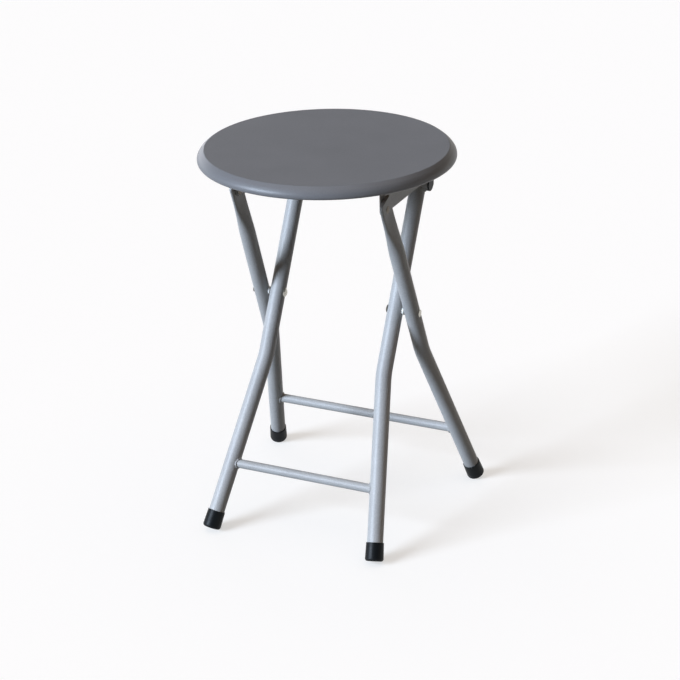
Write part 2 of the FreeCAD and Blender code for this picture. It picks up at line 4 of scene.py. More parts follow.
import bmesh
import bpy
import numpy as np
from mathutils import Matrix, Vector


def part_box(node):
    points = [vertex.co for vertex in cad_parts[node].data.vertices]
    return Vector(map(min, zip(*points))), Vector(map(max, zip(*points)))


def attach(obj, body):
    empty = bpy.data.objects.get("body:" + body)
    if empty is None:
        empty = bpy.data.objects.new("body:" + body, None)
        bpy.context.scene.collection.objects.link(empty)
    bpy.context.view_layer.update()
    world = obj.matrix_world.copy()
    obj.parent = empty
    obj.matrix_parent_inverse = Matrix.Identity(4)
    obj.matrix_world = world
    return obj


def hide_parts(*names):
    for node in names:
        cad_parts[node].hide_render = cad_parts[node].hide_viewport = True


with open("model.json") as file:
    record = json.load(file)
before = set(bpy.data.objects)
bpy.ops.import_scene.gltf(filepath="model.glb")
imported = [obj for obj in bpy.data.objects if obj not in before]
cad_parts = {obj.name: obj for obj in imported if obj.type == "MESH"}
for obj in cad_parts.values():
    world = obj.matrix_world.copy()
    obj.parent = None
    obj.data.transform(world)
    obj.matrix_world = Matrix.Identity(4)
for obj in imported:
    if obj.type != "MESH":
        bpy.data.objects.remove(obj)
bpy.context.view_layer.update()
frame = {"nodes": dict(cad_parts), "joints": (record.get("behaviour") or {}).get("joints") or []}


# Seat board: a disc of medium density fibre board, sawn round and sanded.
# Only its raw brown underside shows, inside the edge of the film that is drawn over it.

mm = 0.001


def linear(colour):
    """Linear RGBA of an sRGB hex colour."""
    channels = np.array([int(colour[i:i + 2], 16) for i in (1, 3, 5)]) / 255
    bright = ((channels + 0.055) / 1.055) ** 2.4
    return [*np.where(channels <= 0.04045, channels / 12.92, bright).tolist(), 1.0]


def add(tree, kind, settings=None, inputs=None, stops=None):
    """Adds a node with its settings; an input is a value, or a socket to link.

    A colour ramp also has stops, (position, hex colour) pairs from low to high.
    """
    made = tree.nodes.new(kind)
    for name, setting in (settings or {}).items():
        setattr(made, name, setting)
    for name, source in (inputs or {}).items():
        if isinstance(source, bpy.types.NodeSocket):
            tree.links.new(source, made.inputs[name])
        else:
            made.inputs[name].default_value = source
    if stops:
        elements = made.color_ramp.elements
        for position, _ in stops[2:]:
            elements.new(position)
        for element, (position, colour) in zip(elements, stops):
            element.position = position
            element.color = linear(colour)
    return made


def new_finish(name, **values):
    """Empty material: its tree, its shader with constant values set, and the Object coordinates."""
    material = bpy.data.materials.new(name)
    material.use_nodes = True
    tree = material.node_tree
    shader = tree.nodes["Principled BSDF"]
    for socket, number in values.items():
        shader.inputs[socket.replace("_", " ")].default_value = number
    place = add(tree, "ShaderNodeTexCoord").outputs["Object"]
    return material, tree, shader, place


# Sanded fibre board: matt, with short flat fibres that lie in the board's plane
fibre_length = 2.4 * mm
fibre_flatness = 6.0
cloud_width = 45 * mm
fibre_finish, tree, shader, place = new_finish("sanded_fibre_board", IOR=1.45, Roughness=0.82)
flat_place = add(tree, "ShaderNodeMapping", inputs={"Vector": place, "Scale": (1.0, 1.0, fibre_flatness)})
fibres = add(tree, "ShaderNodeTexNoise", inputs={
    "Vector": flat_place.outputs["Vector"], "Scale": 1 / fibre_length, "Detail": 6.0, "Roughness": 0.7})
clouds = add(tree, "ShaderNodeTexNoise", inputs={"Vector": place, "Scale": 1 / cloud_width, "Detail": 2.0})
blend = add(tree, "ShaderNodeMix", inputs={
    "Factor": 0.35, "A": fibres.outputs["Fac"], "B": clouds.outputs["Fac"]})
browns = add(tree, "ShaderNodeValToRGB", inputs={"Fac": blend.outputs["Result"]},
             stops=[(0.3, "#7F6449"), (0.5, "#A58A68"), (0.7, "#B99F7D")])
tree.links.new(browns.outputs["Color"], shader.inputs["Base Color"])
fuzz = add(tree, "ShaderNodeBump", inputs={
    "Height": fibres.outputs["Fac"], "Strength": 0.35, "Distance": 0.12 * mm})
tree.links.new(fuzz.outputs["Normal"], shader.inputs["Normal"])


def dress(node, finish):
    """Gives a node of the frame its finish."""
    node = frame["nodes"][node]
    node.data.materials.clear()
    node.data.materials.append(finish)


dress("seat_board", fibre_finish)


# Seat cover: grey vinyl film, drawn hot over the board and trimmed just under its lower edge.
# A crease runs round it, where the matt flat top with its pressed grain meets the smooth rounded rim.


def arc(centre, radius, start, stop, steps):
    """Points on a circle about a centre, from one angle to another in degrees."""
    turn = np.radians(np.linspace(start, stop, steps))
    return np.column_stack([centre[0] + radius * np.cos(turn), centre[1] + radius * np.sin(turn)])


def turned(profile, foot, axis, around):
    """Rings of (radius, height) pairs turned about an axis: foot + height axis + radius (cos a, sin a)."""
    axis = np.asarray(axis, float) / np.linalg.norm(axis)
    side = np.cross(axis, (0.0, 1.0, 0.0))
    side /= np.linalg.norm(side)
    turn = np.linspace(0, 2 * np.pi, around, endpoint=False)
    ring = np.outer(np.cos(turn), side) + np.outer(np.sin(turn), np.cross(axis, side))
    radius, height = np.asarray(profile, float).T
    return np.asarray(foot) + height[:, None, None] * axis + radius[:, None, None] * ring


same_point = 0.001 * mm


def skin(name, rings, finish, looped=False, crease=40):
    """Smooth mesh over a grid of points: closed rings, each joined to the next by quads.

    A ring that shrinks to one point closes an end; a looped grid joins its last ring to its first.
    """
    count, around = rings.shape[:2]
    index = np.arange(count * around).reshape(count, around)
    near = index if looped else index[:-1]
    far = np.roll(index, -1, axis=0) if looped else index[1:]
    quads = np.stack([near, np.roll(near, -1, axis=1), np.roll(far, -1, axis=1), far], axis=-1)
    mesh = bpy.data.meshes.new(name)
    mesh.from_pydata(rings.reshape(-1, 3).tolist(), [], quads.reshape(-1, 4).tolist())
    shape = bmesh.new()
    shape.from_mesh(mesh)
    bmesh.ops.remove_doubles(shape, verts=shape.verts, dist=same_point)
    bmesh.ops.recalc_face_normals(shape, faces=shape.faces)
    shape.to_mesh(mesh)
    shape.free()
    mesh.shade_smooth()
    mesh.set_sharp_from_angle(angle=math.radians(crease))
    mesh.materials.append(finish)
    piece = bpy.data.objects.new(name, mesh)
    bpy.context.collection.objects.link(piece)
    return piece


def fit(piece, body, slot, *nodes):
    """Fixes a piece to its body and hides the nodes that it stands for. The slot argument is not used."""
    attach(piece, body)
    if nodes:
        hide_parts(*nodes)


film_thickness = 0.8 * mm
rim_radius = 10.5 * mm
crease_inset = 8.2 * mm
crease_angle = math.radians(35)
rim_fullness = 1.0
hem_radius = 2.8 * mm
film_low, film_high = (np.array(corner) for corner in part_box("seat_film"))
seat_radius = (film_high[0] - film_low[0]) / 2
seat_top = film_high[2]
underside = film_low[2]

# Matt vinyl film: an even grey, its flat top pressed with a fine grain that breaks up the gloss,
# its rim stretched smooth and a little glossier
grain = 0.9 * mm
speckle_width = 1.6 * mm
dust_width = 70 * mm
film_finish, tree, shader, place = new_finish("matt_vinyl_film", IOR=1.5, Specular_IOR_Level=0.4)
pebbles = add(tree, "ShaderNodeTexVoronoi", {"feature": "SMOOTH_F1"}, {"Vector": place, "Scale": 1 / grain})
dust = add(tree, "ShaderNodeTexNoise", inputs={"Vector": place, "Scale": 1 / dust_width, "Detail": 3.0})
speckle = add(tree, "ShaderNodeTexNoise", inputs={"Vector": place, "Scale": 1 / speckle_width, "Detail": 4.0})
mottle = add(tree, "ShaderNodeMix", inputs={
    "Factor": 0.5, "A": speckle.outputs["Fac"], "B": dust.outputs["Fac"]})
greys = add(tree, "ShaderNodeValToRGB", inputs={"Fac": mottle.outputs["Result"]},
            stops=[(0.3, "#696A6D"), (0.7, "#727376")])
tree.links.new(greys.outputs["Color"], shader.inputs["Base Color"])
height = add(tree, "ShaderNodeSeparateXYZ", inputs={"Vector": place})
on_top = add(tree, "ShaderNodeMapRange", inputs={
    "Value": height.outputs["Z"], "From Min": seat_top - 0.5 * mm, "From Max": seat_top - 0.1 * mm})
top_gloss = add(tree, "ShaderNodeMapRange", inputs={
    "Value": speckle.outputs["Fac"], "From Min": 0.3, "From Max": 0.7, "To Min": 0.46, "To Max": 0.58})
rim_gloss = add(tree, "ShaderNodeMapRange", inputs={
    "Value": speckle.outputs["Fac"], "From Min": 0.3, "From Max": 0.7, "To Min": 0.36, "To Max": 0.44})
gloss = add(tree, "ShaderNodeMix", inputs={
    "Factor": on_top.outputs["Result"], "A": rim_gloss.outputs["Result"], "B": top_gloss.outputs["Result"]})
tree.links.new(gloss.outputs["Result"], shader.inputs["Roughness"])
press_depth = add(tree, "ShaderNodeMapRange", inputs={
    "Value": on_top.outputs["Result"], "To Min": 0.05, "To Max": 0.3})
pressed = add(tree, "ShaderNodeBump", inputs={
    "Height": pebbles.outputs["Distance"], "Strength": press_depth.outputs["Result"], "Distance": 0.04 * mm})
tree.links.new(pressed.outputs["Normal"], shader.inputs["Normal"])


def rim_side():
    """Outside of the rim, from the crease round the top to the upright side.

    A rational quadratic curve, the sum of weight times point over the sum of weights: the ends weigh
    (1 - t)(1 - t) and t t, and the corner where their tangents meet weighs 2 f t (1 - t), f its fullness.
    """
    share = np.linspace(0, 1, 28)[:, None]
    crease = np.array([seat_radius - crease_inset, seat_top])
    corner = np.array([seat_radius, seat_top - crease_inset * math.tan(crease_angle)])
    side = np.array([seat_radius, seat_top - rim_radius])
    near, middle, far = (1 - share) ** 2, 2 * rim_fullness * share * (1 - share), share ** 2
    return (near * crease + middle * corner + far * side) / (near + middle + far)


def hem_side(inset):
    """Rounded lower edge of the cover, moved inwards by an inset."""
    return arc((seat_radius - hem_radius, underside + hem_radius), hem_radius - inset, 0, -90, 12)


# Two rings close to the crease keep the top flat in the shading up to there
flat_radius = seat_radius - crease_inset
near_crease, next_to_crease = 2 * mm, 0.8 * mm
flat_out = np.append(np.linspace(0, flat_radius - near_crease, 30), flat_radius - next_to_crease)
flat_in = np.linspace(0, seat_radius - rim_radius, 30)
rim_centre = (seat_radius - rim_radius, seat_top - rim_radius)
inside = np.vstack([
    np.column_stack([flat_in, np.full_like(flat_in, seat_top - film_thickness)]),
    arc(rim_centre, rim_radius - film_thickness, 90, 0, 26)[1:],
    hem_side(film_thickness),
])
outside = np.vstack([
    np.column_stack([flat_out, np.full_like(flat_out, seat_top)]),
    rim_side(),
    hem_side(0.0),
])
cover_profile = np.vstack([outside, inside[::-1]])
seat_cover = skin("seat_cover", turned(cover_profile, (0, 0, 0), (0, 0, 1), 224), film_finish)
fit(seat_cover, "seat", "grey_film", "seat_film")


# Seat rails: steel sheet, cut with an ear in front and a hook behind, folded to an angle
# and powder coated silver like the legs.

# Silver powder coat: grey resin with aluminium flakes, flowed out to a satin orange peel.
# Real flakes are a few hundredths of a millimetre, so they are drawn coarser to show.
flake = 0.7 * mm
peel = 2.2 * mm
streak_length = 35 * mm
coat_finish, tree, shader, place = new_finish("silver_powder_coat", IOR=1.5, Specular_IOR_Level=0.45)
flakes = add(tree, "ShaderNodeTexVoronoi", inputs={"Vector": place, "Scale": 1 / flake})
flake_grey = add(tree, "ShaderNodeSeparateColor", inputs={"Color": flakes.outputs["Color"]})
streaks = add(tree, "ShaderNodeTexNoise", inputs={"Vector": place, "Scale": 1 / streak_length, "Detail": 3.0})
shimmer = add(tree, "ShaderNodeMix", inputs={
    "Factor": 0.5, "A": flake_grey.outputs["Red"], "B": streaks.outputs["Fac"]})
silvers = add(tree, "ShaderNodeValToRGB", inputs={"Fac": shimmer.outputs["Result"]},
              stops=[(0.2, "#9F9F9F"), (0.5, "#A9A9A8"), (0.8, "#B3B3B2")])
tree.links.new(silvers.outputs["Color"], shader.inputs["Base Color"])
satin = add(tree, "ShaderNodeMapRange", inputs={
    "Value": flake_grey.outputs["Green"], "To Min": 0.4, "To Max": 0.54})
tree.links.new(satin.outputs["Result"], shader.inputs["Roughness"])
waves = add(tree, "ShaderNodeTexNoise", inputs={"Vector": place, "Scale": 1 / peel, "Detail": 1.0})
orange_peel = add(tree, "ShaderNodeBump", inputs={
    "Height": waves.outputs["Fac"], "Strength": 0.3, "Distance": 0.05 * mm})
tree.links.new(orange_peel.outputs["Normal"], shader.inputs["Normal"])

sides = {"right": 1, "left": -1}
for side in sides:
    dress(f"seat_rail_{side}", coat_finish)


# Rail screws: round headed steel screws with a cross recess, zinc plated.
# They are driven up through the rails into the board.

# Zinc plate: a bright, slightly yellow metal with a fine crystalline bloom
bloom_width = 1.2 * mm
zinc_finish, tree, shader, place = new_finish("zinc_plate", Metallic=1.0)
bloom = add(tree, "ShaderNodeTexNoise", inputs={"Vector": place, "Scale": 1 / bloom_width, "Detail": 5.0})
zincs = add(tree, "ShaderNodeValToRGB", inputs={"Fac": bloom.outputs["Fac"]},
            stops=[(0.3, "#A9A79E"), (0.7, "#C9C7BE")])
tree.links.new(zincs.outputs["Color"], shader.inputs["Base Color"])
dull = add(tree, "ShaderNodeMapRange", inputs={"Value": bloom.outputs["Fac"], "To Min": 0.22, "To Max": 0.48})
tree.links.new(dull.outputs["Result"], shader.inputs["Roughness"])
scratch = add(tree, "ShaderNodeBump", inputs={
    "Height": bloom.outputs["Fac"], "Strength": 0.2, "Distance": 0.03 * mm})
tree.links.new(scratch.outputs["Normal"], shader.inputs["Normal"])

screw_head_radius = 4 * mm
screw_head_height = 2.4 * mm
screw_shank_radius = 1.75 * mm
recess_reach = 2.3 * mm
recess_half_width = 0.55 * mm
recess_depth = 1.5 * mm


def cross_recess(across, along):
    """Depth of a cross recess: two bars at right angles, shallower outwards, with soft edges."""
    edge = 0.12 * mm
    reach = np.hypot(across, along) / recess_reach
    narrow = np.minimum(np.abs(across), np.abs(along))
    inside = 1 / (1 + np.exp((narrow - recess_half_width) / edge * 2))
    return recess_depth * inside * np.clip(1 - reach, 0, 1) ** 0.5


def screw(foot, length):
    """Rings of a screw: a domed head with its recess below the foot, then the shank and its point."""
    ball = (screw_head_radius ** 2 + screw_head_height ** 2) / (2 * screw_head_height)
    half_angle = math.degrees(math.asin(screw_head_radius / ball))
    dome = arc((0, ball - screw_head_height), ball, -90, half_angle - 90, 22)
    shank = [(screw_shank_radius, 0), (screw_shank_radius, length - screw_shank_radius), (0, length)]
    rings = turned(np.vstack([dome, shank]), foot, (0, 0, 1), 72)
    head = rings[:len(dome)]
    head[..., 2] += cross_recess(head[..., 0] - foot[0], head[..., 1] - foot[1])
    return rings


for row in ("front", "middle", "rear"):
    for side in sides:
        node = f"rail_screw_{row}_{side}"
        low, high = (np.array(corner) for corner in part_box(node))
        foot = np.array([(low[0] + high[0]) / 2, (low[1] + high[1]) / 2, low[2] + screw_head_height])
        piece = skin(f"cross_head_screw_{row}_{side}", screw(foot, high[2] - foot[2]), zinc_finish, crease=50)
        fit(piece, "seat", "zinc_plate", node)


# Seat hinge: a steel rivet through each rail and each pressed leg top, with a nylon washer between.
# The washers of the crossing below are the same natural white nylon.

# Natural nylon: milky white, with light passing a little way into it
milk_width = 3 * mm
nylon_finish, tree, shader, place = new_finish(
    "natural_nylon", IOR=1.53, Subsurface_Weight=0.15, Subsurface_Radius=(0.0012, 0.0011, 0.001))
milk = add(tree, "ShaderNodeTexNoise", inputs={"Vector": place, "Scale": 1 / milk_width, "Detail": 3.0})
whites = add(tree, "ShaderNodeValToRGB", inputs={"Fac": milk.outputs["Fac"]},
             stops=[(0.3, "#E2E1DB"), (0.7, "#F0EFEA")])
tree.links.new(whites.outputs["Color"], shader.inputs["Base Color"])
wax = add(tree, "ShaderNodeMapRange", inputs={"Value": milk.outputs["Fac"], "To Min": 0.35, "To Max": 0.5})
tree.links.new(wax.outputs["Result"], shader.inputs["Roughness"])

# Zinc plate of the hinge rivets, coloured dark brownish grey as painted shade for the seat's shade over them,
# with a random mottle
hinge_mottle_width = 2 * mm
shade_darkened_zinc_finish, tree, shader, place = new_finish("zinc_plate_painted_shade", Metallic=1.0)
hinge_mottle = add(tree, "ShaderNodeTexNoise", inputs={"Vector": place, "Scale": 1 / hinge_mottle_width, "Detail": 5.0})
# Painted shade: these dark brownish greys stand in for the seat's shade on the hinge rivets
painted_shade_zincs = add(tree, "ShaderNodeValToRGB", inputs={"Fac": hinge_mottle.outputs["Fac"]},
                 stops=[(0.3, "#5A554D"), (0.7, "#787269")])
tree.links.new(painted_shade_zincs.outputs["Color"], shader.inputs["Base Color"])
rubbed = add(tree, "ShaderNodeMapRange", inputs={
    "Value": hinge_mottle.outputs["Fac"], "To Min": 0.4, "To Max": 0.65})
tree.links.new(rubbed.outputs["Result"], shader.inputs["Roughness"])

rivet_radius = 3 * mm
rivet_head_radius = 5.5 * mm
rivet_head_height = 2.4 * mm
rivet_tail_radius = 4.5 * mm
rivet_tail_height = 1 * mm


def low_dome(radius, height, steps):
    """Profile of a shallow dome from its rim to its top, as (radius, height) pairs."""
    ball = (radius ** 2 + height ** 2) / (2 * height)
    half_angle = math.degrees(math.asin(radius / ball))
    return arc((0, height - ball), ball, 90 - half_angle, 90, steps)


def rivet(node, hand):
    """Rings of a rivet along X: domed head towards the middle, shank, low dome outside."""
    low, high = (np.array(corner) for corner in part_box(node))
    length = high[0] - low[0] - rivet_head_height - rivet_tail_height
    inner_end = low[0] if hand > 0 else high[0]
    foot = np.array([inner_end + hand * rivet_head_height, (low[1] + high[1]) / 2, (low[2] + high[2]) / 2])
    head = low_dome(rivet_head_radius, rivet_head_height, 16)[::-1] * (1, -1)
    tail = low_dome(rivet_tail_radius, rivet_tail_height, 10) + (0, length)
    shank = [(rivet_radius, 0), (rivet_radius, length)]
    return turned(np.vstack([head, shank, tail]), foot, (hand, 0, 0), 56)


def washer(node, hole_radius):
    """Rings of a flat washer along X with broken edges: out, across and back through its hole."""
    low, high = (np.array(corner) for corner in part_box(node))
    radius = (high[2] - low[2]) / 2
    thick = high[0] - low[0]
    edge = 0.15 * mm
    profile = [(hole_radius, 0), (radius - edge, 0), (radius, edge), (radius, thick - edge),
               (radius - edge, thick), (hole_radius, thick), (hole_radius, 0)]
    foot = (low[0], (low[1] + high[1]) / 2, (low[2] + high[2]) / 2)
    return turned(profile, foot, (1, 0, 0), 64)


pin_hole_radius = 3.05 * mm
for side, hand in sides.items():
    # The hinge pins take the zinc that is darkened as painted shade
    piece = skin(f"hinge_pin_{side}", rivet(f"seat_hinge_rivet_{side}", hand), shade_darkened_zinc_finish)
    fit(piece, "seat", "zinc_plate", f"seat_hinge_rivet_{side}")
    piece = skin(f"hinge_washer_{side}", washer(f"seat_hinge_washer_{side}", pin_hole_radius), nylon_finish)
    fit(piece, "seat", "white_nylon", f"seat_hinge_washer_{side}")


# Outer legs: steel tube, bent once below the crossing, and pressed flat at the top for the hinge.
# They lean in towards the top, and are powder coated silver.

joints = {joint["name"]: joint for joint in frame["joints"]}
crossing = np.array(joints["leg_fold"]["pos_m"])
hinge = np.array(joints["seat_flip"]["pos_m"])
tube_radius = 9.5 * mm
bend_radius = 120 * mm
cap_floor = 3 * mm
cap_edge = 3 * mm
cap_top_radius = 10.5 * mm
cap_base_radius = 11 * mm


def stand(points, tilt):
    """Turns a frame's own plane about X by its tilt and lifts it to the crossing.

    The plane's points are x across, y out of the plane and z up the legs from the crossing.
    """
    turn = np.array([[1, 0, 0], [0, math.cos(tilt), -math.sin(tilt)], [0, math.sin(tilt), math.cos(tilt)]])
    return points @ turn.T + crossing


def shin_length(tilt, splay, drop):
    """Knee to sole, so that the rounded rim of the foot cap just reaches the floor."""
    upright = math.cos(splay) * math.cos(tilt)
    lift = cap_edge * (1 - upright) + (cap_base_radius - cap_edge) * math.sqrt(1 - upright ** 2)
    return (crossing[2] - drop * math.cos(tilt) - lift) / upright


def leg_line(tilt, splay, lean, drop, knee_x, top_z):
    """Centre line of a right hand leg: x, z and inward angle along the shin, the bend and the upper part.

    The bend is an arc, centre - radius (cos a, sin a), that touches both straight parts.
    """
    tangent = bend_radius * math.tan((splay - lean) / 2)
    shin = shin_length(tilt, splay, drop) - cap_floor
    along = np.linspace(shin, tangent, 40)[:-1]
    shin_part = np.column_stack([knee_x + along * math.sin(splay), -drop - along * math.cos(splay),
                                 np.full_like(along, splay)])
    angle = np.linspace(splay, lean, 14)
    centre = (knee_x + tangent * math.sin(splay) + bend_radius * math.cos(splay),
              -drop - tangent * math.cos(splay) + bend_radius * math.sin(splay))
    bend_part = np.column_stack([centre[0] - bend_radius * np.cos(angle),
                                 centre[1] - bend_radius * np.sin(angle), angle])
    rise = np.linspace(bend_part[-1, 1], top_z, 40)[1:]
    upper_part = np.column_stack([bend_part[-1, 0] - (rise - bend_part[-1, 1]) * math.tan(lean), rise,
                                  np.full_like(rise, lean)])
    return np.vstack([shin_part, bend_part, upper_part])


def swept(line, across, out):
    """Rings along a centre line: each point moves across by the line's own normal, and out of the plane."""
    x, z, angle = line.T
    return np.stack([x[:, None] + across * np.cos(angle)[:, None],
                     np.broadcast_to(out, across.shape),
                     z[:, None] + across * np.sin(angle)[:, None]], axis=-1)


def shut(rings):
    """Closes both ends of a tube, each with a ring drawn in to the mean of the end's points."""
    first, last = (np.broadcast_to(ring.mean(axis=0), ring.shape)[None] for ring in (rings[0], rings[-1]))
    return np.concatenate([first, rings, last])


outer_tilt = math.radians(23.1)
outer_splay = math.radians(10)
outer_drop = 64 * mm
outer_half_width = 98.8 * mm
blade_x = 94.2 * mm
blade_thickness = 4 * mm
blade_width = 26 * mm
blade_flat = 8 * mm
blade_tip = 13 * mm
blade_corner = 4 * mm
blade_edge = 0.35 * mm
press_length = 60 * mm
hinge_reach = (hinge[2] - crossing[2]) / math.cos(outer_tilt)
flat_start = hinge_reach - blade_flat
lean_slope = (outer_half_width - blade_x) / flat_start
outer_lean = math.atan(lean_slope)
outer_knee_x = outer_half_width + lean_slope * outer_drop
half_thick = blade_thickness / 2
half_flat = (blade_width - blade_thickness) / 2
round_turn = np.radians(np.linspace(0, 360, 64, endpoint=False))


def stadium(half_length, half_width):
    """Flat sided ring with round ends, its points paired with those of a circle at equal angles.

    The corners at 45, 135, 225 and 315 degrees are where the flats meet the round ends.
    """
    corners = [-45, 45, 135, 225, 315, 405]
    degrees = np.degrees(round_turn)
    middle = np.interp(degrees, corners, [-1, 1, 1, -1, -1, 1])
    turn = np.radians(np.interp(degrees, corners, [0, 0, 180, 180, 360, 360]))
    return half_width * np.cos(turn), half_length * middle + half_width * np.sin(turn)


def outer_leg():
    """Rings of a right hand outer leg: round tube, pressed by degrees to a flat blade with a sheared end.

    Near the end the blade's half width falls as c - c cos(a) at the height c sin(a) of its rounded corners,
    and a last thin chamfer breaks the end's edge.
    """
    tube = leg_line(outer_tilt, outer_splay, outer_lean, outer_drop, outer_knee_x, flat_start - press_length)
    press = np.linspace(0, 1, 44)[1:]
    pressed_line = np.column_stack([blade_x + lean_slope * press_length * (1 - press),
                                    flat_start - press_length * (1 - press), outer_lean * (1 - press)])
    ease = (press * press * (3 - 2 * press))[:, None]
    flat_x, flat_y = stadium(half_flat, half_thick)
    round_x = tube_radius * np.cos(round_turn)
    round_y = tube_radius * np.sin(round_turn)
    corner_turn = np.linspace(0, np.pi / 2, 16)
    tip_rise = blade_tip - blade_corner + blade_corner * np.sin(corner_turn)
    tip_narrow = blade_corner * (1 - np.cos(corner_turn))
    tip_thin = np.clip(tip_rise - blade_tip + blade_edge, 0, None)
    tip_x, tip_y = stadium(half_flat - tip_narrow[:, None], half_thick - tip_thin[:, None])
    blade_line = np.column_stack([np.full_like(tip_rise, blade_x), hinge_reach + tip_rise,
                                  np.zeros_like(tip_rise)])
    line = np.vstack([tube, pressed_line, blade_line])
    across = np.vstack([np.tile(round_x, (len(tube), 1)), (1 - ease) * round_x + ease * flat_x, tip_x])
    out = np.vstack([np.tile(round_y, (len(tube), 1)), (1 - ease) * round_y + ease * flat_y, tip_y])
    return shut(swept(line, across, out))


for side, hand in sides.items():
    rings = stand(outer_leg() * (hand, 1, 1), outer_tilt)
    piece = skin(f"outer_tube_{side}", rings, coat_finish)
    fit(piece, "outer_frame", "silver_paint", f"outer_leg_{side}")


# Outer stretcher: a thin steel tube, cut to the round of the legs and welded in between them.
# The weld beads are coated over with the rest of the frame.

stretcher_radius = 5.5 * mm
outer_stretcher_height = 79.4 * mm
bead_radius = 1.5 * mm
bead_drops = 11
drop_swell = 0.12
waver_swell = 0.1
bead_flatness = 0.8
bead_turn = np.linspace(0, 2 * np.pi, 14, endpoint=False)


def saddle(height, tilt, splay, drop, knee_x, radius):
    """Where a cross tube meets a leg: x round the tube's end, for the height of each point.

    A point y out of the plane lies sqrt(r r - y y) / cos(splay) inside the leg's slanting middle line.
    """
    level = -(crossing[2] - height) / math.cos(tilt)
    y = radius * np.cos(round_turn)
    z = level + radius * np.sin(round_turn)
    middle = knee_x + (-z - drop) * math.tan(splay)
    return middle - np.sqrt(tube_radius ** 2 - y ** 2) / math.cos(splay), y, z


def stretcher(ends):
    """Rings of a straight tube whose two ends follow the saddles."""
    x, y, z = ends
    share = np.linspace(-1, 1, 60)[:, None]
    return shut(np.stack(np.broadcast_arrays(share * x, y, z), axis=-1))


def bead(ends, radius, hand):
    """Weld bead on a saddle: a ring whose round section swells and shrinks as the drops follow each other.

    The section's radius is b (1 + d sin(n a) + w sin(4 a + hand)), for n drops, a the angle round the tube.
    """
    x, y, z = ends
    waver = waver_swell * np.sin(4 * round_turn + hand)
    ripple = bead_radius * (1 + drop_swell * np.sin(bead_drops * round_turn) + waver)
    swell = ripple[:, None] * np.cos(bead_turn)
    outwards = 1 + ripple[:, None] * np.sin(bead_turn) / radius
    middle = (z.min() + z.max()) / 2
    return np.stack([hand * (x[:, None] - swell * bead_flatness), y[:, None] * outwards,
                     middle + (z[:, None] - middle) * outwards], axis=-1)


outer_ends = saddle(outer_stretcher_height, outer_tilt, outer_splay, outer_drop, outer_knee_x,
                    stretcher_radius)
piece = skin("outer_cross_tube", stand(stretcher(outer_ends), outer_tilt), coat_finish)
fit(piece, "outer_frame", "silver_paint", "outer_stretcher")
for side, hand in sides.items():
    rings = stand(bead(outer_ends, stretcher_radius, hand), outer_tilt)
    piece = skin(f"outer_weld_{side}", rings, coat_finish, looped=True)
    fit(piece, "outer_frame", "silver_paint")


# Foot caps: black rubber sleeves with a closed sole, pushed over the ends of the tubes.
# A rolled lip closes their top edge, and they widen a little towards the sole.

# Moulded black rubber: near black with a soft sheen, dusty where it scuffs the floor
dusting_width = 4 * mm
scuff_height = 7 * mm
rubber_finish, tree, shader, place = new_finish("moulded_black_rubber", IOR=1.52, Specular_IOR_Level=0.14)
dusting = add(tree, "ShaderNodeTexNoise", inputs={"Vector": place, "Scale": 1 / dusting_width, "Detail": 5.0})
height = add(tree, "ShaderNodeSeparateXYZ", inputs={"Vector": place})
near_floor = add(tree, "ShaderNodeMapRange", inputs={
    "Value": height.outputs["Z"], "From Min": 0.0, "From Max": scuff_height, "To Min": 0.55, "To Max": 0.0})
scuff = add(tree, "ShaderNodeMath", {"operation": "MULTIPLY"},
            {0: near_floor.outputs["Result"], 1: dusting.outputs["Fac"]})
blacks = add(tree, "ShaderNodeValToRGB", inputs={"Fac": scuff.outputs["Value"]},
             stops=[(0.0, "#0E1215"), (0.45, "#2E2F2F")])
tree.links.new(blacks.outputs["Color"], shader.inputs["Base Color"])
sheen = add(tree, "ShaderNodeMapRange", inputs={
    "Value": dusting.outputs["Fac"], "To Min": 0.34, "To Max": 0.52})
tree.links.new(sheen.outputs["Result"], shader.inputs["Roughness"])
moulding = add(tree, "ShaderNodeBump", inputs={
    "Height": dusting.outputs["Fac"], "Strength": 0.15, "Distance": 0.06 * mm})
tree.links.new(moulding.outputs["Normal"], shader.inputs["Normal"])

cap_length = 22 * mm
cap_bore = 9.55 * mm
lip_radius = (cap_top_radius - cap_bore) / 2


def foot_cap(tilt, splay, drop, knee_x, hand):
    """Rings of a cap turned about the shin: sole, rounded rim, flared side, rolled lip and bore."""
    shin = shin_length(tilt, splay, drop)
    foot = np.array([knee_x + shin * math.sin(splay), 0, -drop - shin * math.cos(splay)])
    axis = np.array([-math.sin(splay), 0, math.cos(splay)])
    profile = np.vstack([
        [(0, 0)],
        np.column_stack([np.linspace(0, cap_base_radius - cap_edge, 8)[1:-1], np.zeros(6)]),
        arc((cap_base_radius - cap_edge, cap_edge), cap_edge, -90, 0, 12),
        np.linspace((cap_base_radius, cap_edge), (cap_top_radius, cap_length - lip_radius), 10)[1:-1],
        arc((cap_bore + lip_radius, cap_length - lip_radius), lip_radius, 0, 180, 10),
        [(cap_bore, cap_floor), (0, cap_floor)],
    ])
    return stand(turned(profile, foot, axis, 72) * (hand, 1, 1), tilt)


for side, hand in sides.items():
    rings = foot_cap(outer_tilt, outer_splay, outer_drop, outer_knee_x, hand)
    piece = skin(f"outer_cap_{side}", rings, rubber_finish)
    fit(piece, "outer_frame", "black_rubber", f"outer_foot_cap_{side}")


# Inner legs: the same tube, upright above the crossing and bent out below it.
# Their tops are cut to the round of the top bar and welded to it.

inner_tilt = math.radians(-28.8)
inner_splay = math.radians(7.9)
inner_drop = 78 * mm
inner_half_width = 77.2 * mm
bar_radius = 8 * mm
saddle_setback = 2.5 * mm
bar_low, bar_high = (np.array(corner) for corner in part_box("inner_top_bar"))
bar_reach = ((bar_low[2] + bar_high[2]) / 2 - crossing[2]) / math.cos(inner_tilt)


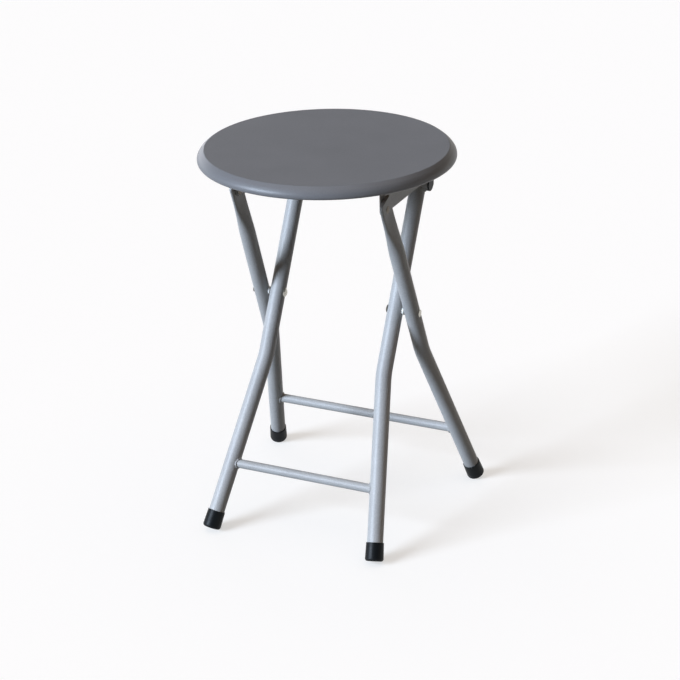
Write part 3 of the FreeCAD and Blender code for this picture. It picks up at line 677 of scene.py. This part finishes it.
def inner_leg():
    """Rings of a right hand inner leg; the last rings rise to the top bar's underside.

    Under the bar the edge is at reach - sqrt(b b - y y), beside it at the setback.
    """
    neck = 14 * mm
    line = leg_line(inner_tilt, inner_splay, 0.0, inner_drop, inner_half_width, bar_reach - neck)
    across = np.tile(tube_radius * np.cos(round_turn), (len(line), 1))
    out = np.tile(tube_radius * np.sin(round_turn), (len(line), 1))
    rings = swept(line, across, out)
    deep = np.sqrt(np.clip(bar_radius ** 2 - rings[-1, :, 1] ** 2, saddle_setback ** 2, None))
    edge = rings[-1].copy()
    edge[:, 2] = bar_reach - deep
    share = np.linspace(0, 1, 12)[1:, None, None]
    return shut(np.concatenate([rings, rings[-1] + share * (edge - rings[-1])]))


for side, hand in sides.items():
    rings = stand(inner_leg() * (hand, 1, 1), inner_tilt)
    piece = skin(f"inner_tube_{side}", rings, coat_finish)
    fit(piece, "inner_frame", "silver_paint", f"inner_leg_{side}")


# Inner stretcher and inner feet: a thin steel tube like the outer frame's, welded in between
# the inner legs and coated with them. The same black rubber caps are pushed over the legs' ends.

inner_stretcher_height = 76.7 * mm
inner_ends = saddle(inner_stretcher_height, inner_tilt, inner_splay, inner_drop, inner_half_width,
                    stretcher_radius)
piece = skin("inner_cross_tube", stand(stretcher(inner_ends), inner_tilt), coat_finish)
fit(piece, "inner_frame", "silver_paint", "inner_stretcher")
for side, hand in sides.items():
    rings = stand(bead(inner_ends, stretcher_radius, hand), inner_tilt)
    piece = skin(f"inner_weld_{side}", rings, coat_finish, looped=True)
    fit(piece, "inner_frame", "silver_paint")
    rings = foot_cap(inner_tilt, inner_splay, inner_drop, inner_half_width, hand)
    piece = skin(f"inner_cap_{side}", rings, rubber_finish)
    fit(piece, "inner_frame", "black_rubber", f"inner_foot_cap_{side}")


# Top bar: a steel tube across the tops of the inner legs, held by a weld on each side of each leg.
# The seat's hooks drop over it, and black plugs close its ends.

bar_wall = 1.2 * mm
bar_middle = (bar_low + bar_high) / 2
bar_half = (bar_high[0] - bar_low[0]) / 2
bar_bore = bar_radius - bar_wall
bar_run = np.linspace(-1, 1, 40) * bar_half
bar_profile = np.vstack([
    [(bar_bore, -bar_half)],
    np.column_stack([np.full_like(bar_run, bar_radius), bar_run]),
    [(bar_bore, bar_half), (bar_bore, -bar_half)],
])
piece = skin("top_bar_tube", turned(bar_profile, bar_middle, (1, 0, 0), 64), coat_finish)
fit(piece, "inner_frame", "silver_paint", "inner_top_bar")

plug_cap = 1.8 * mm
plug_spigot = 9 * mm
plug_fit = 0.05 * mm
bar_bead_reach = 7.2 * mm
bar_bead_drops = 17


def bar_bead(hand, face):
    """Weld bead between bar and leg: a round section carried along y on the bar, thin at both ends.

    Its radius is b sqrt(1 - s s s s) (1 + d sin(n s + face)), s from -1 to 1 along it.
    """
    share = np.linspace(-1, 1, 30)
    y = bar_bead_reach * share
    drops = 1 + drop_swell * np.sin(bar_bead_drops * share + face)
    thick = bead_radius * np.sqrt(np.clip(1 - share ** 4, 0, None)) * drops
    x = inner_half_width + face * np.sqrt(tube_radius ** 2 - y ** 2)
    z = bar_reach - np.sqrt(bar_radius ** 2 - y ** 2)
    aside = hand * (x[:, None] + thick[:, None] * np.cos(bead_turn))
    upwards = z[:, None] + thick[:, None] * np.sin(bead_turn)
    return np.stack(np.broadcast_arrays(aside, y[:, None], upwards), axis=-1)


for side, hand in sides.items():
    foot = bar_middle + (hand * bar_half, 0, 0)
    spigot = bar_bore - plug_fit
    plug_round = plug_cap / 2
    plug_profile = np.vstack([
        [(0, -plug_spigot), (spigot, -plug_spigot), (spigot, 0), (bar_radius, 0)],
        arc((bar_radius - plug_round, plug_cap - plug_round), plug_round, 0, 90, 10),
        [(bar_radius / 2, plug_cap), (0, plug_cap)],
    ])
    piece = skin(f"bar_plug_{side}", turned(plug_profile, foot, (hand, 0, 0), 64), rubber_finish)
    fit(piece, "inner_frame", "black_rubber", f"top_bar_plug_{side}")
    for name, face in {"inside": -1, "outside": 1}.items():
        piece = skin(f"bar_weld_{name}_{side}", stand(bar_bead(hand, face), inner_tilt), coat_finish)
        fit(piece, "inner_frame", "silver_paint")


# Crossing: a steel rivet through both legs on each side, domed towards the middle,
# with a white nylon spacer that keeps the tubes apart.

for side, hand in sides.items():
    piece = skin(f"crossing_pin_{side}", rivet(f"cross_rivet_{side}", hand), zinc_finish)
    fit(piece, "inner_frame", "zinc_plate", f"cross_rivet_{side}")
    piece = skin(f"crossing_spacer_{side}", washer(f"cross_spacer_{side}", pin_hole_radius), nylon_finish)
    fit(piece, "inner_frame", "white_nylon", f"cross_spacer_{side}")


# Studio: a pale paper floor, under a sky that is white at the horizon and dim above.
# A broad cool light stands low on the front left, a faint one behind at the horizon,
# and a weak warm one overhead.

floor_half = 40.0
floor_mesh = bpy.data.meshes.new("studio_floor")
floor_mesh.from_pydata([(-floor_half, -floor_half, 0), (floor_half, -floor_half, 0),
                        (floor_half, floor_half, 0), (-floor_half, floor_half, 0)], [], [(0, 1, 2, 3)])
floor = bpy.data.objects.new("studio_floor", floor_mesh)
bpy.context.collection.objects.link(floor)


def seen_rays(tree):
    """One for a ray from the camera, or mirrored or passed on to it, and zero for one that only lights."""
    rays = add(tree, "ShaderNodeLightPath").outputs
    either = add(tree, "ShaderNodeMath", {"operation": "MAXIMUM"},
                 {0: rays["Is Camera Ray"], 1: rays["Is Glossy Ray"]})
    return add(tree, "ShaderNodeMath", {"operation": "MAXIMUM"},
               {0: either.outputs["Value"], 1: rays["Is Transmission Ray"]}).outputs["Value"]


# Pale paper: white to the eye, while its bounce on the stool is that of a warm grey floor
paper_glow = 0.55
floor_finish, tree, shader, _ = new_finish(
    "pale_paper", Roughness=0.9, Specular_IOR_Level=0.0, Emission_Color=linear("#FFFFFF"))
seen = seen_rays(tree)
paper = add(tree, "ShaderNodeMix", {"data_type": "RGBA"}, {
    "Factor": seen, "A": linear("#474641"), "B": linear("#BCB9B5")})
tree.links.new(paper.outputs["Result"], shader.inputs["Base Color"])
lift = add(tree, "ShaderNodeMath", {"operation": "MULTIPLY"}, {0: seen, 1: paper_glow})
tree.links.new(lift.outputs["Value"], shader.inputs["Emission Strength"])
floor_mesh.materials.append(floor_finish)

world = bpy.data.worlds.new("studio_world")
bpy.context.scene.world = world
world.use_nodes = True
tree = world.node_tree
direction = add(tree, "ShaderNodeTexCoord").outputs["Generated"]
upwards = add(tree, "ShaderNodeSeparateXYZ", inputs={"Vector": direction})
horizon = add(tree, "ShaderNodeValToRGB", inputs={"Fac": upwards.outputs["Z"]},
              stops=[(0.18, "#FCFCFC"), (0.32, "#4F4A46")])
sky = add(tree, "ShaderNodeMix", {"data_type": "RGBA"}, {
    "Factor": seen_rays(tree), "A": linear("#4F4A46"), "B": horizon.outputs["Color"]})
tree.links.new(sky.outputs["Result"], tree.nodes["Background"].inputs["Color"])
tree.nodes["Background"].inputs["Strength"].default_value = 1.0


light_distance = 3


def far_light(name, azimuth, elevation, spread, level, colour):
    """Distant round light, its place and spread in degrees.

    At level 1, a sun of energy pi, a white sheet that faces it is white.
    """
    light = bpy.data.lights.new(name, "SUN")
    light.angle = math.radians(spread)
    light.energy = math.pi * level
    light.color = linear(colour)[:3]
    turn, rise = math.radians(azimuth), math.radians(elevation)
    back = np.array([math.sin(turn) * math.cos(rise), -math.cos(turn) * math.cos(rise), math.sin(rise)])
    right = np.array([math.cos(turn), math.sin(turn), 0.0])
    columns = np.column_stack([right, np.cross(back, right), back, light_distance * back])
    holder = bpy.data.objects.new(name, light)
    holder.matrix_world = Matrix([*columns.tolist(), (0, 0, 0, 1)])
    bpy.context.collection.objects.link(holder)


far_light("window_light", azimuth=-38, elevation=24, spread=28, level=1.65, colour="#DCEBFF")
far_light("back_light", azimuth=230, elevation=1, spread=36, level=0.2, colour="#F6F7FF")
far_light("ceiling_light", azimuth=0, elevation=88, spread=80, level=0.28, colour="#FFE9D2")


# Camera: the photograph's viewpoint, a long lens from the front right and above, turned a little on its axis.
# Its values come from fitting the stool's seat, feet, crossings and stretchers to the photograph.

photo_size = 680
focal_pixels = 1987.745
camera_turn = math.radians(24.733)
camera_rise = math.radians(23.778)
camera_roll = math.radians(-1.269)
camera_distance = 2.386861
aim_aside = 10.258 * mm
aim_height = 217.811 * mm
look_at = np.array([aim_aside * math.cos(camera_turn), aim_aside * math.sin(camera_turn), aim_height])
camera_data = bpy.data.cameras.new("photo_camera")
camera_data.sensor_width = 36.0
camera_data.lens = focal_pixels * camera_data.sensor_width / photo_size
back = np.array([math.sin(camera_turn) * math.cos(camera_rise),
                 -math.cos(camera_turn) * math.cos(camera_rise), math.sin(camera_rise)])
level = np.array([math.cos(camera_turn), math.sin(camera_turn), 0.0])
upright = np.cross(back, level)
right = math.cos(camera_roll) * level + math.sin(camera_roll) * upright
up = -math.sin(camera_roll) * level + math.cos(camera_roll) * upright
columns = np.column_stack([right, up, back, look_at + camera_distance * back])
camera = bpy.data.objects.new("photo_camera", camera_data)
camera.matrix_world = Matrix([*columns.tolist(), (0, 0, 0, 1)])
bpy.context.collection.objects.link(camera)
bpy.context.scene.camera = camera
bpy.context.scene.view_settings.view_transform = "Standard"
